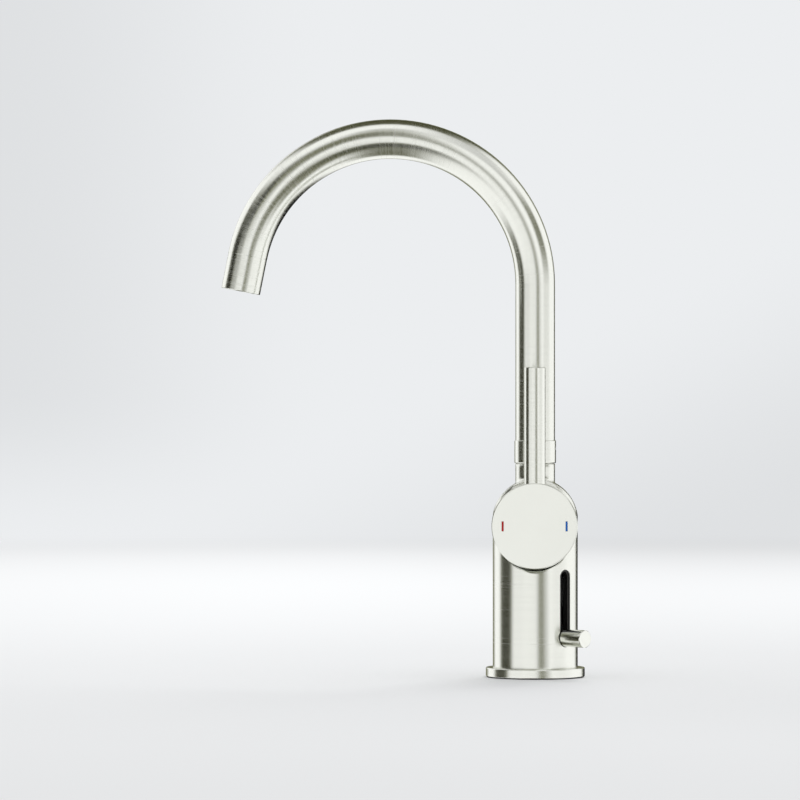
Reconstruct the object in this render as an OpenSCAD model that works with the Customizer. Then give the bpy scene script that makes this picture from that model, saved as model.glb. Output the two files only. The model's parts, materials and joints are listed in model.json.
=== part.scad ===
// Tall single-lever mixer with a side-mounted disc handle, a swivelling arc spout
// and a sliding shut-off knob for an appliance outlet.
// Millimetres. The origin is the centre of the base on the deck, +Z is up,
// the spout reaches towards -X and the disc handle faces -Y.
// In the names below, "reach" is a distance from the body's axis towards the handle.

/* [Base] */
// Outer diameter of the ring that stands on the deck
base_ring_d = 60; // [58:0.5:70]
// Height of the base ring above its seal
base_ring_h = 5.2; // [4:0.2:9]
// Rounding of the base ring's top edge
base_edge_r = 0.6; // [0.3:0.1:1.2]
// Thickness of the rubber seal under the ring and the body
base_seal_h = 0.8; // [0.6:0.1:1.6]
// How far the base ring stands out from the body's foot
foot_step = 6.5; // [5:0.1:7]

/* [Body] */
// Diameter of the upright body
body_d = 51.5; // [51:0.5:56]
// How far the rounded housing crown stands outside the body's radius
crown_step = 0.25; // [0.2:0.05:0.6]
// Height of the rounded crown's axis
crown_z = 94.3; // [94:0.1:98]
// Top of the neck that carries the spout
neck_top_z = 129.45; // [128:0.05:134]
// Radius of the fillet between neck and crown
neck_fillet_r = 1.7; // [1:0.1:2.2]

/* [Spout] */
// Outer diameter of the spout pipe and of the neck
pipe_d = 24; // [24:0.5:26]
// Wall of the spout pipe
pipe_wall = 1.2; // [0.8:0.1:1.4]
// Radius of the spout's bend at its centre line
bend_r = 88.3; // [70:0.1:110]
// Height where the bend begins
bend_z = 238.3; // [210:0.1:280]
// Angle through which the pipe bends
bend_sweep = 168.7; // [150:0.1:176]
// Straight length after the bend
tail_len = 21.8; // [18:0.1:40]
// How far the collar stands outside the pipe
collar_step = 0.6; // [0.4:0.1:1.5]
// Height of the collar
collar_h = 13.75; // [10:0.05:20]
// Swivel of the spout to each side
swivel_half = 60; // [30:5:80]

/* [Handle] */
// Height of the handle's turning axis
handle_z = 92.2; // [91.6:0.1:92.8]
// Diameter of the disc handle
cap_d = 51.6; // [50:0.2:53]
// Depth of the disc handle
cap_t = 15; // [14.5:0.1:16]
// How far the disc handle's front face stands out from the body
cap_out = 12.25; // [12.1:0.05:13.2]
// Wall round the disc handle's hollow back
cap_rim_wall = 3; // [2.4:0.1:3.2]
// Wall of the disc handle's front
cap_face_wall = 3; // [2.4:0.1:3.2]
// Diameter of the lever rod
rod_d = 12.85; // [9:0.05:13]
// Height of the lever rod's top
rod_top_z = 187.5; // [150:0.5:210]
// Width of a temperature mark
mark_w = 1.2; // [0.8:0.1:2]
// Height of a temperature mark
mark_h = 5.8; // [4:0.1:8]
// Distance of each mark from the handle's centre
mark_offset = 19.1; // [14:0.1:21]
// Lift of the lever from shut to full flow
tilt_range = 10; // [6:0.5:13]

/* [Cartridge] */
// Outer diameter of the mixing cartridge
cart_d = 35; // [34:0.5:35.5]
// Depth of the cartridge's lever pivot behind the body's front
pivot_depth = 4.75; // [4.4:0.05:4.9]
// Depth of the cartridge's pocket behind the body's front
pocket_depth = 33.75; // [33.4:0.05:34.1]
// Thickness of each ceramic disc in the cartridge
disc_t = 3; // [2.4:0.1:3]
// Radius of each water port
port_r = 2.8; // [2:0.1:3]

/* [Shut-off] */
// Direction of the slot, turned from the front towards the right
slot_angle = 45.7; // [40:0.1:50]
// Width of the slot in the body
slot_w = 8.6; // [8:0.1:9.6]
// Height of the knob in its low, closed place
knob_z = 24.5; // [23.3:0.1:25]
// Travel of the knob up the slot
knob_travel = 36.8; // [30:0.1:38]
// How far the slot runs on below the knob's low place
slot_spare = 1.2; // [0:0.1:1.2]
// Diameter of the knob
knob_d = 10.5; // [9.5:0.1:12]
// How far the knob's end stands out from the body
knob_out = 16.5; // [12:0.1:22]
// Diameter of the pin that carries the knob through the slot
knob_pin_d = 6; // [5:0.1:6.2]
// Turn of the valve over the knob's travel
valve_turn = 90; // [60:5:90]

/* [Connections] */
// Wall radius of each hose thread in the base
hose_thread_r = 4.5; // [4:0.05:4.6]
// Length of each hose thread
hose_thread_len = 11; // [8:0.5:11]
// Distance of the hot and cold threads from the middle
inlet_x = 8; // [7.6:0.1:9]
// Wall between the hot and cold threads and the edge of the foot
inlet_wall = 2.4; // [1.8:0.1:2.8]
// Wall radius of the fixing stud's thread
stud_thread_r = 3.4; // [2.4:0.1:3.5]
// Length of the fixing stud's thread
stud_thread_len = 16; // [10:0.5:22]

/* [Fits] */
// Gap between pieces that are pushed or screwed together
snug = 0.05; // [0.02:0.01:0.08]
// Gap of a running fit
running = 0.08; // [0.04:0.01:0.1]
// Gap between pieces that move past each other
free = 0.4; // [0.3:0.05:0.5]

/* [Hidden] */
$fn = 96;

// Colours
nickel = [0.78, 0.77, 0.73];
brass = [0.80, 0.66, 0.36];
steel = [0.68, 0.69, 0.70];
rubber = [0.10, 0.10, 0.11];
black_plastic = [0.06, 0.06, 0.07];
white_plastic = [0.90, 0.90, 0.88];
grey_plastic = [0.45, 0.46, 0.48];
ceramic = [0.93, 0.92, 0.90];

// A cut runs this far past the face that it opens
past = 1;

// Base and body
base_h = base_seal_h + base_ring_h;
body_r = body_d / 2;
crown_r = body_r + crown_step;
crown_top = crown_z + crown_r;
foot_r = base_ring_d / 2 - foot_step;
neck_r = pipe_d / 2;
neck_wall = 2.7;
neck_bore_r = neck_r - neck_wall;
neck_edge = 0.3;
inlet_back = sqrt(pow(foot_r - inlet_wall - hose_thread_r, 2) - pow(inlet_x, 2));
fillet_steps = 6;
fillet_start = 8;
fillet_turns = 72;
stud_x = -14;
stud_y = -3;

// Spout
pipe_r = pipe_d / 2;
pipe_bore_r = pipe_r - pipe_wall;
washer_t = 0.3;
collar_z = neck_top_z + washer_t;
collar_lip_t = 1.75;
pipe_z = collar_z + collar_lip_t;
collar_edge = 0.35;
tail_tilt = 180 - bend_sweep;
outlet_x = -bend_r + bend_r * cos(bend_sweep) - tail_len * sin(bend_sweep);
outlet_z = bend_z + bend_r * sin(bend_sweep) + tail_len * cos(bend_sweep);

// Spigot in the neck, from its floor upwards
spigot_r = neck_bore_r - free;
spigot_bore_r = 6.2;
neck_depth = 17.85;
neck_floor_z = neck_top_z - neck_depth;
spigot_z = neck_floor_z + 0.8;
spigot_socket_len = 18.5;
guide_z = [spigot_z + 0.2, neck_top_z - 2];
guide_h = 1.6;
guide_groove_r = spigot_r - 0.6;
seal_z = [spigot_z + 3, spigot_z + 6];
seal_ring_r = 0.95;
seal_groove_r = neck_bore_r - running - 2 * seal_ring_r;
stop_z = neck_top_z - 4.85;
stop_screw_r = 2;
stop_groove_r = spigot_r - 1.3;

// Aerator in the spout's mouth
aerator_r = pipe_bore_r;
aerator_wall = 1.4;
aerator_inset = 0.8;
aerator_len = 10.7;
insert_r = aerator_r - aerator_wall - snug;
insert_low = aerator_inset + 1.3;
insert_len = 7.4;

// Handle
cap_front = body_r + cap_out;
cap_r = cap_d / 2;
cap_back = cap_front - cap_t;
cap_hollow_r = cap_r - cap_rim_wall;
cap_edge = 0.4;
mark_t = 0.4;
rod_r = rod_d / 2;
rod_reach = cap_front - 7.5;
rod_seat = cap_r - 1.2;
rod_edge = 0.5;
boss_r = 7.5;
pivot_reach = body_r - pivot_depth;
boss_reach = pivot_reach + 6.4;
lever_thread_r = 3;
lever_thread_depth = 12;

// Where the tilted handle's back edge comes to, and the recess that clears it
rim_reach = pivot_reach + (cap_back - pivot_reach) * cos(tilt_range) - cap_r * sin(tilt_range);
rim_r = (cap_back - pivot_reach) * sin(tilt_range) + cap_r * cos(tilt_range);
recess_floor = rim_reach - 0.75;
recess_edge = 1.3;
recess_half_angle = 97;
brow_reach = cap_back - 0.5;
function recess_wall(reach) = rim_r + free + (reach - rim_reach) * tan(tilt_range);

// Cartridge, in reaches from the seat forwards
seat_reach = body_r - pocket_depth;
cart_r = cart_d / 2;
case_bore_r = cart_r - 3;
cart_base_t = 3.55;
cart_base_front = seat_reach + cart_base_t;
fixed_disc_back = cart_base_front + snug;
moving_disc_back = fixed_disc_back + disc_t + snug;
carrier_back = moving_disc_back + disc_t + snug;
ball_reach = carrier_back + 3.3;
stem_arm = pivot_reach - ball_reach;
ball_r = 2.6;
ball_gap = 0.3;
carrier_r = case_bore_r - 3.9;
carrier_w = 20.4;
carrier_h = 5.3;
carrier_front = carrier_back + carrier_h;
lug_reach = carrier_w / 2 + free + 0.1;
lug_t = 2.4;
lug_w = 8;
stem_h = 5.2;
turret_back = carrier_front + 1.6;
flange_front = turret_back + 3.3;
case_wall_back = flange_front + 0.1;
case_front = case_wall_back + 2;
turret_r = 9.5;
turret_front = pivot_reach + 3.4;
nut_r = cart_r + 1.45;
nut_t = 5.4;
nut_hole_r = 12.5;
cover_wall = 1;
cover_r = nut_r + free + cover_wall;
cover_bevel = 3.6;
cover_back = recess_floor - 0.3;
cover_front = pivot_reach + 5.4;
disc_stroke = stem_arm * tilt_range * PI / 180;
disc_rest = -disc_stroke / 2;
stem_w = 7;
stem_slot_l = 13;
pin_r = 1.5;
port_points = [[-inlet_x, -4.2], [inlet_x, -4.2], [0, 8.8]];
inlet_bore_r = port_r + 0.2;
outlet_bore_r = port_r + 0.6;

// Shut-off valve: cam, pin and shoe behind the slot
cam_r = 12;
cam_wall = 2;
cam_bore_r = cam_r + running;
slot_low = knob_z - slot_spare - slot_w / 2;
slot_high = knob_z + knob_travel + slot_w / 2;
pin_tip_r = 2.5;
cam_slot_r = pin_tip_r + free;
cam_base = knob_z - cam_slot_r - 1.4;
cam_top = knob_z + knob_travel + cam_slot_r + 1;
cam_slope = atan(cam_r * valve_turn * PI / 180 / knob_travel);
slot_wall = 4.15;
channel_reach = body_r - slot_wall;
channel_w = 13.4;
liner_t = 1.1;
liner_lip = 0.9;
liner_inset = 0.3;
shoe_t = 2.2;
shoe_w = 11;
shoe_h = 8;
shoe_front = channel_reach - liner_t - free;
shoe_back = shoe_front - shoe_t;
cam_offset = shoe_back - free - cam_r;
knob_back = body_r + 0.35;
knob_front = body_r + knob_out;
knob_socket = 6.6;
knob_edge = 0.3;

// Shut-off valve: insert screwed into the base below the cam, from its foot upwards
insert_foot = base_seal_h + free;
insert_shoulder = cam_base - 0.2;
feed_z = insert_shoulder - 4.3;
feed_h = 2.6;
feed_bore_r = 1.8;
insert_thread_len = hose_thread_len - 2.5;
insert_seal_r = 0.78;
insert_seal_z = [feed_z - 3.3, feed_z + 2.9];
insert_groove_r = cam_r - 1.5;
barrel_r = cam_r - cam_wall - 0.3;
pocket_r = barrel_r - 1.3;
valve_disc_t = 2;
pocket_z = insert_shoulder - 1.3;
valve_moving_z = pocket_z + valve_disc_t + snug;
spindle_z = valve_moving_z + valve_disc_t;
spindle_flange_t = 1.4;
bonnet_z = spindle_z + spindle_flange_t + 0.1;
bonnet_t = 1.4;
barrel_top = bonnet_z + bonnet_t + 0.1;
spindle_r = 3.5;
spindle_square = 4.8;
cam_web_z = barrel_top + 0.9;
cam_web_t = 3;
clip_t = 0.8;
valve_port_r = 1.5;
valve_port_x = 4;

// Local Z runs along the cartridge's axis to the front, local Y runs up
module on_handle_axis() {
    translate([0, 0, handle_z]) rotate([90, 0, 0]) children();
}

// Local -Y points out through the slot
module to_slot() {
    rotate([0, 0, slot_angle]) children();
}

// Local Z runs out through the slot at a height
module out_of_slot(z) {
    to_slot() translate([0, 0, z]) rotate([90, 0, 0]) children();
}

module on_cam_axis() {
    to_slot() translate([0, -cam_offset, 0]) children();
}

// Local Z runs up into the spout from its mouth
module at_outlet() {
    translate([outlet_x, 0, outlet_z]) rotate([0, tail_tilt, 0]) children();
}

module tube(outer, inner, low, high) {
    translate([0, 0, low]) rotate_extrude() translate([inner, 0]) square([outer - inner, high - low]);
}

module o_ring(r, thickness_r, z) {
    translate([0, 0, z]) rotate_extrude() translate([r, 0]) circle(r = thickness_r, $fn = 32);
}

// A cylinder with a small bevel on its upper edge or on both edges
module bevelled_disc(r, low, high, edge, low_edge = 0) {
    low_points = low_edge > 0 ? [[r - low_edge, low], [r, low + low_edge]] : [[r, low]];
    rotate_extrude()
        polygon(concat([[0, low]], low_points, [[r, high - edge], [r - edge, high], [0, high]]));
}

// Upright slot outline with round ends
module slot_outline(w, low, high) {
    translate([0, low + w / 2]) circle(d = w);
    translate([0, high - w / 2]) circle(d = w);
    translate([-w / 2, low + w / 2]) square([w, high - low - w]);
}

module along_slot(from, to) {
    to_slot() rotate([90, 0, 0]) translate([0, 0, from]) linear_extrude(to - from) children();
}

// Upright body under a crown that is rounded about the handle's direction
module crowned_body() {
    intersection() {
        translate([0, 0, base_h]) cylinder(r = body_r, h = crown_top);
        rotate([90, 0, 0]) linear_extrude(2 * body_r + 4, center = true) {
            translate([0, crown_z]) circle(r = crown_r);
            translate([-crown_r, 0]) square([2 * crown_r, crown_z]);
        }
    }
}

// Height and slope of the crown where the neck meets it, at a turn from the front
function crown_height(turn, r) = crown_z + sqrt(pow(crown_r, 2) - pow(r * sin(turn), 2));
function crown_slope(turn) = atan((crown_height(turn, neck_r) - crown_height(turn, neck_r + neck_fillet_r))
    / neck_fillet_r);
function fillet_centre(turn) = crown_height(turn, neck_r)
    + neck_fillet_r * (1 / cos(crown_slope(turn)) - tan(crown_slope(turn)));

// One cross-section of the fillet: a hollow arc between the neck's wall and the crown
function fillet_section(turn) = let (
        centre = fillet_centre(turn),
        sweep = 90 - crown_slope(turn) - 2 * fillet_start,
        last = fillet_start + sweep
    ) concat(
        [for (i = [0 : fillet_steps]) let (a = fillet_start + sweep * i / fillet_steps)
            [neck_r + neck_fillet_r * (1 - cos(a)), centre - neck_fillet_r * sin(a)]],
        [[neck_r + neck_fillet_r * (1 - cos(last)) - 0.6, centre - neck_fillet_r * sin(last) - 2],
            [neck_r - 1, centre - neck_fillet_r * sin(last) - 2],
            [neck_r - 1, centre - neck_fillet_r * sin(fillet_start)]]);

module neck_fillet() {
    section_size = fillet_steps + 4;
    points = [for (t = [0 : fillet_turns - 1]) let (turn = 360 * t / fillet_turns)
        for (p = fillet_section(turn)) [p[0] * sin(turn), -p[0] * cos(turn), p[1]]];
    faces = [for (t = [0 : fillet_turns - 1]) for (i = [0 : section_size - 1])
        let (
            a = t * section_size + i,
            b = t * section_size + (i + 1) % section_size,
            c = ((t + 1) % fillet_turns) * section_size + (i + 1) % section_size,
            d = ((t + 1) % fillet_turns) * section_size + i
        ) for (f = [[a, b, c], [a, c, d]]) f];
    polyhedron(points = points, faces = faces);
}

module cartridge_pocket() {
    on_handle_axis() {
        translate([0, 0, seat_reach]) cylinder(r = cart_r + snug, h = body_r - seat_reach + past);
        translate([0, 0, case_front - 0.5]) cylinder(r = nut_r + snug, h = body_r);
        translate([0, 0, cover_back]) cylinder(r = cover_r + free, h = body_r);
    }
}

// The handle's lower edge swings into this recess, and its upper edge stays in front of the brow
module swing_recess() {
    edge_reach = body_r - recess_edge;
    far = body_r + past;
    inner = cover_r - past;
    on_handle_axis() {
        rotate([0, 0, -90 - recess_half_angle]) rotate_extrude(angle = 2 * recess_half_angle)
            polygon([[inner, recess_floor], [recess_wall(recess_floor), recess_floor],
                [recess_wall(edge_reach), edge_reach],
                [recess_wall(edge_reach) + far - edge_reach, far], [inner, far]]);
        rotate([0, 0, -90 + recess_half_angle]) rotate_extrude(angle = 360 - 2 * recess_half_angle)
            translate([inner, brow_reach]) square([cap_r, far - brow_reach]);
    }
}

// Threaded inlets, upright bores and the cartridge's ports behind its seat
module water_passages() {
    for (side = [-1, 1]) {
        translate([side * inlet_x, inlet_back, 0]) {
            cylinder(r = hose_thread_r, h = base_seal_h + hose_thread_len);
            translate([0, 0, base_seal_h]) cylinder(r = inlet_bore_r, h = handle_z - base_seal_h);
        }
    }
    for (p = port_points) {
        on_handle_axis() translate([p[0], p[1], -inlet_back - inlet_bore_r])
            cylinder(r = port_r, h = inlet_back + inlet_bore_r + seat_reach + past);
    }
    outlet_top = neck_floor_z + 2 * outlet_bore_r;
    translate([0, inlet_back, handle_z + port_points[2][1] - inlet_bore_r])
        cylinder(r = outlet_bore_r, h = outlet_top - handle_z - port_points[2][1] + inlet_bore_r);
    translate([0, 0, outlet_top - outlet_bore_r]) rotate([-90, 0, 0])
        cylinder(r = outlet_bore_r - 0.4, h = inlet_back + 0.5);
}

// Bore for the shut-off valve, its feed from the cold side, the slot and the shoe's channel
module shutoff_cavity() {
    on_cam_axis() cylinder(r = cam_bore_r, h = cam_top + 0.4);
    cam_centre = [cam_offset * sin(slot_angle), -cam_offset * cos(slot_angle)];
    feed = [inlet_x, inlet_back] - cam_centre;
    translate([cam_centre[0], cam_centre[1], feed_z]) rotate([0, 0, atan2(feed[1], feed[0])])
        rotate([0, 90, 0]) translate([0, 0, cam_r - past])
        cylinder(r = feed_bore_r, h = norm(feed) - cam_r + past);
    along_slot(channel_reach - past, body_r + past) slot_outline(slot_w, slot_low, slot_high);
    along_slot(cam_offset + cam_r / 2, channel_reach)
        translate([-channel_w / 2, slot_low - 0.1]) square([channel_w, slot_high - slot_low + 0.9]);
}

// Body

module body() {
    color(nickel) difference() {
        union() {
            crowned_body();
            translate([0, 0, base_seal_h]) cylinder(r = foot_r, h = base_ring_h + past);
            translate([0, 0, crown_z]) bevelled_disc(neck_r, 0, neck_top_z - crown_z, neck_edge);
            neck_fillet();
        }
        cartridge_pocket();
        swing_recess();
        water_passages();
        shutoff_cavity();
        translate([0, 0, neck_floor_z]) cylinder(r = neck_bore_r, h = neck_top_z - neck_floor_z + past);
        translate([stud_x, stud_y, 0]) cylinder(r = stud_thread_r, h = base_seal_h + stud_thread_len);
        translate([0, neck_bore_r - past, stop_z]) rotate([-90, 0, 0])
            cylinder(r = stop_screw_r + snug, h = neck_wall + 2 * past);
    }
}

module base_ring() {
    inner = foot_r + snug;
    outer = base_ring_d / 2;
    color(nickel) translate([0, 0, base_seal_h]) rotate_extrude() {
        translate([inner, 0]) square([outer - inner, base_ring_h - base_edge_r]);
        translate([inner, 0]) square([outer - inner - base_edge_r, base_ring_h]);
        translate([outer - base_edge_r, base_ring_h - base_edge_r]) circle(r = base_edge_r, $fn = 32);
    }
}

module base_seal() {
    color(rubber) tube(base_ring_d / 2 - 0.6, foot_r - 1, 0, base_seal_h);
}

module spout_washer() {
    color(white_plastic) tube(neck_r - neck_edge - 0.2, neck_bore_r, neck_top_z, collar_z);
}

// The screw's tip runs in the spigot's groove, which keeps the spout in and limits its swivel
module spout_stop_screw() {
    color(steel) translate([0, stop_groove_r + 0.3, stop_z]) rotate([-90, 0, 0]) difference() {
        cylinder(r = stop_screw_r, h = neck_r - stop_groove_r - 0.8);
        translate([0, 0, neck_r - stop_groove_r - 2.3]) cylinder(r = 1.15, h = 2, $fn = 6);
    }
}

// Shut-off valve

// Black guide behind the slot, with a lip that lines the slot's edge
module slot_liner() {
    color(black_plastic) difference() {
        union() {
            along_slot(channel_reach - liner_t, channel_reach - snug)
                translate([-channel_w / 2 + 0.1, slot_low])
                square([channel_w - 0.2, slot_high - slot_low + 0.6]);
            intersection() {
                along_slot(channel_reach - liner_t, body_r)
                    slot_outline(slot_w - 2 * snug, slot_low + snug, slot_high - snug);
                cylinder(r = body_r - liner_inset, h = crown_z);
            }
        }
        along_slot(channel_reach - liner_t - past, body_r + past)
            slot_outline(slot_w - 2 * liner_lip, slot_low + liner_lip, slot_high - liner_lip);
    }
}

module valve_insert() {
    color(brass) on_cam_axis() difference() {
        union() {
            translate([0, 0, insert_foot]) cylinder(r = cam_bore_r - snug, h = insert_shoulder - insert_foot);
            translate([0, 0, insert_shoulder - past])
                cylinder(r = barrel_r, h = barrel_top - insert_shoulder + past);
        }
        tube(cam_r + past, insert_groove_r, feed_z - feed_h / 2, feed_z + feed_h / 2);
        for (z = insert_seal_z) {
            tube(cam_r + past, insert_groove_r, z - insert_seal_r - 0.02, z + insert_seal_r + 0.02);
        }
        translate([0, 0, pocket_z]) cylinder(r = pocket_r, h = barrel_top);
        translate([0, 0, insert_foot - past]) cylinder(r = hose_thread_r, h = insert_thread_len + past);
        translate([valve_port_x, 0, insert_foot + insert_thread_len - past])
            cylinder(r = valve_port_r, h = pocket_z);
        translate([-valve_port_x, 0, feed_z]) cylinder(r = valve_port_r, h = pocket_z);
        translate([-cam_r, 0, feed_z]) rotate([0, 90, 0]) cylinder(r = 1.2, h = cam_r - valve_port_x);
    }
}

module valve_insert_seals() {
    color(rubber) on_cam_axis() {
        for (z = insert_seal_z) {
            o_ring(cam_bore_r - insert_seal_r - 0.02, insert_seal_r, z);
        }
    }
}

module valve_disc(low, port_turn) {
    difference() {
        translate([0, 0, low]) cylinder(r = pocket_r - 0.1, h = valve_disc_t);
        for (side = [0, 180]) {
            rotate([0, 0, port_turn + side]) translate([valve_port_x, 0, low - past])
                cylinder(r = valve_port_r, h = valve_disc_t + 2 * past);
        }
    }
}

module valve_fixed_disc() {
    color(ceramic) on_cam_axis() valve_disc(pocket_z, 0);
}

module valve_moving_disc() {
    color(ceramic) on_cam_axis() valve_disc(valve_moving_z, valve_turn);
}

module valve_bonnet() {
    color(brass) on_cam_axis() tube(pocket_r - snug, spindle_r + running, bonnet_z, bonnet_z + bonnet_t);
}

module valve_spindle() {
    square_top = cam_web_z + cam_web_t + clip_t + 1;
    color(brass) on_cam_axis() difference() {
        union() {
            translate([0, 0, spindle_z]) cylinder(r = pocket_r - 0.2, h = spindle_flange_t);
            translate([0, 0, spindle_z]) cylinder(r = spindle_r, h = cam_web_z - spindle_z - 0.1);
            translate([-spindle_square / 2, -spindle_square / 2, spindle_z])
                cube([spindle_square, spindle_square, square_top - spindle_z]);
        }
        tube(spindle_square, spindle_square / 2 - 0.2, cam_web_z + cam_web_t, cam_web_z + cam_web_t + clip_t);
    }
}

// Spring clip that snaps into the spindle's groove above the cam
module spindle_clip() {
    z = cam_web_z + cam_web_t;
    color(steel) on_cam_axis() difference() {
        tube(spindle_square / 2 + 2.2, spindle_square / 2 - 0.15, z, z + clip_t - 0.05);
        translate([0, -1.4, z - past]) cube([spindle_square, 2.8, clip_t + 2 * past]);
    }
}

// Sleeve with a winding slot: as the pin slides up, the sleeve turns the valve
module shutoff_cam() {
    slot_width = 2 * cam_slot_r / cos(cam_slope);
    end_turn = valve_turn * cam_slot_r / knob_travel;
    color(grey_plastic) on_cam_axis() difference() {
        union() {
            tube(cam_r, cam_r - cam_wall, cam_base, cam_top);
            translate([0, 0, cam_web_z]) cylinder(r = cam_r - cam_wall / 2, h = cam_web_t);
        }
        translate([-spindle_square / 2 - snug, -spindle_square / 2 - snug, cam_web_z - past])
            cube([spindle_square + 2 * snug, spindle_square + 2 * snug, cam_web_t + 2 * past]);
        translate([0, 0, knob_z - cam_slot_r]) rotate([0, 0, -end_turn])
            linear_extrude(knob_travel + 2 * cam_slot_r, twist = -valve_turn - 2 * end_turn,
                slices = 36, segments = 4)
            translate([-slot_width / 2, -cam_r - past]) square([slot_width, cam_wall + 2 * past]);
    }
}

module shutoff_pin() {
    tip_reach = cam_offset + cam_r - cam_wall + 0.4;
    color(steel) out_of_slot(knob_z) {
        translate([0, 0, tip_reach]) cylinder(r = pin_tip_r, h = shoe_front - tip_reach);
        translate([0, 0, shoe_back]) cylinder(d = knob_pin_d, h = knob_back + knob_socket - shoe_back - 0.3);
    }
}

module shutoff_shoe() {
    color(black_plastic) out_of_slot(knob_z) difference() {
        translate([-shoe_w / 2, -shoe_h / 2, shoe_back]) cube([shoe_w, shoe_h, shoe_t]);
        translate([0, 0, shoe_back - past]) cylinder(r = knob_pin_d / 2 + snug, h = shoe_front);
    }
}

module shutoff_knob() {
    color(nickel) out_of_slot(knob_z) difference() {
        bevelled_disc(knob_d / 2, knob_back, knob_front, knob_edge, knob_edge);
        translate([0, 0, knob_back - past]) cylinder(r = knob_pin_d / 2 + snug, h = knob_socket + past);
    }
}

// Mixing cartridge

module cartridge_base() {
    color(black_plastic) on_handle_axis() difference() {
        translate([0, 0, seat_reach]) cylinder(r = cart_r, h = cart_base_front - seat_reach);
        for (p = port_points) {
            translate([p[0], p[1], seat_reach - past]) cylinder(r = port_r, h = disc_t + 3);
            translate([p[0], p[1], seat_reach - past]) cylinder(r = port_r + 1.45, h = 1.35 + past);
        }
    }
}

module cartridge_port_seals() {
    color(rubber) on_handle_axis() {
        for (p = port_points) {
            translate([p[0], p[1], 0]) o_ring(port_r + 0.7, 0.66, seat_reach + 0.68);
        }
    }
}

module cartridge_case() {
    color(white_plastic) on_handle_axis() {
        tube(cart_r, case_bore_r, cart_base_front, case_wall_back);
        tube(cart_r, turret_r + running, case_wall_back, case_front);
    }
}

module cartridge_fixed_disc() {
    color(ceramic) on_handle_axis() difference() {
        translate([0, 0, fixed_disc_back]) cylinder(r = case_bore_r - 0.1, h = disc_t);
        for (p = port_points) {
            translate([p[0], p[1], fixed_disc_back - past]) cylinder(r = port_r - 0.2, h = disc_t + 2 * past);
        }
    }
}

// The hollow in the back of the moving disc joins the ports as it slides
module cartridge_moving_disc() {
    color(ceramic) on_handle_axis() translate([0, disc_rest, moving_disc_back]) difference() {
        cylinder(r = case_bore_r - 3.7, h = disc_t);
        translate([0, 1, -past]) cylinder(r = 7.4, h = past + disc_t / 2);
    }
}

module disc_carrier() {
    color(grey_plastic) on_handle_axis() difference() {
        translate([0, disc_rest, carrier_back]) intersection() {
            cylinder(r = carrier_r, h = carrier_h);
            translate([-carrier_w / 2, -carrier_r, 0]) cube([carrier_w, 2 * carrier_r, carrier_h]);
        }
        translate([0, 0, ball_reach - ball_r - ball_gap]) cylinder(r = ball_r + ball_gap, h = stem_arm);
    }
}

// Turns with the handle; its two lugs turn the carrier, and its slot guides the stem
module cartridge_turret() {
    color(white_plastic) on_handle_axis() difference() {
        union() {
            translate([0, 0, turret_back]) cylinder(r = case_bore_r - 0.3, h = flange_front - turret_back);
            translate([0, 0, turret_back]) cylinder(r = turret_r, h = turret_front - turret_back);
            for (turn = [0, 180]) {
                rotate([0, 0, turn]) translate([lug_reach, -lug_w / 2, carrier_back + 1])
                    cube([lug_t, lug_w, turret_back - carrier_back]);
            }
        }
        translate([-stem_w / 2 - 0.15, -stem_slot_l / 2, turret_back - past])
            cube([stem_w + 0.3, stem_slot_l, turret_front - turret_back + 2 * past]);
        translate([-turret_r, 0, pivot_reach]) rotate([0, 90, 0])
            cylinder(r = pin_r + snug, h = 2 * turret_r);
    }
}

module stem_pin() {
    color(steel) on_handle_axis() translate([-turret_r + 0.7, 0, pivot_reach]) rotate([0, 90, 0])
        cylinder(r = pin_r, h = 2 * turret_r - 1.4);
}

// Lever arm of the cartridge: ball end in the carrier, eye on the pin, square end in the handle
module cartridge_stem() {
    square_end = cap_front - cap_face_wall - 0.8;
    color(steel) on_handle_axis() difference() {
        union() {
            translate([0, 0, ball_reach]) sphere(r = ball_r);
            translate([0, 0, ball_reach]) cylinder(r = 2, h = pivot_reach - ball_reach);
            translate([-stem_w / 2, -stem_h / 2, turret_back + 1])
                cube([stem_w, stem_h, pivot_reach - turret_back]);
            translate([-stem_w / 2, -stem_w / 2, pivot_reach - 3.4])
                cube([stem_w, stem_w, square_end - pivot_reach + 3.4]);
        }
        translate([-stem_w, 0, pivot_reach]) rotate([0, 90, 0]) cylinder(r = pin_r + running, h = 2 * stem_w);
        translate([0, 1.6, rod_reach]) rotate([-90, 0, 0]) cylinder(r = lever_thread_r, h = stem_w);
    }
}

module cartridge_nut() {
    low = case_front + snug;
    color(brass) on_handle_axis() difference() {
        tube(nut_r, nut_hole_r, low, low + nut_t);
        for (turn = [30 : 60 : 330]) {
            rotate([0, 0, turn]) translate([nut_hole_r - past, -1.5, low + nut_t - 2.5]) cube([3.4, 3, 3.5]);
        }
    }
}

// Limits how far the handle turns towards hot
module limit_ring() {
    low = case_front + snug;
    color(white_plastic) on_handle_axis() {
        tube(nut_hole_r - 0.15, turret_r + 0.3, low, low + 2.4);
    }
}

module nut_cover() {
    shoulder = cover_front - cover_bevel;
    bore = nut_hole_r + 0.1;
    inner = cover_r - cover_wall;
    roof = cover_front - cover_wall;
    color(nickel) on_handle_axis() rotate_extrude()
        polygon([[inner, cover_back + snug], [cover_r, cover_back + snug], [cover_r, shoulder],
            [cover_r - cover_bevel, cover_front], [bore, cover_front], [bore, roof],
            [inner - cover_bevel + cover_wall / 2, roof], [inner, shoulder - cover_wall / 2]]);
}

// Handle

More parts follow.
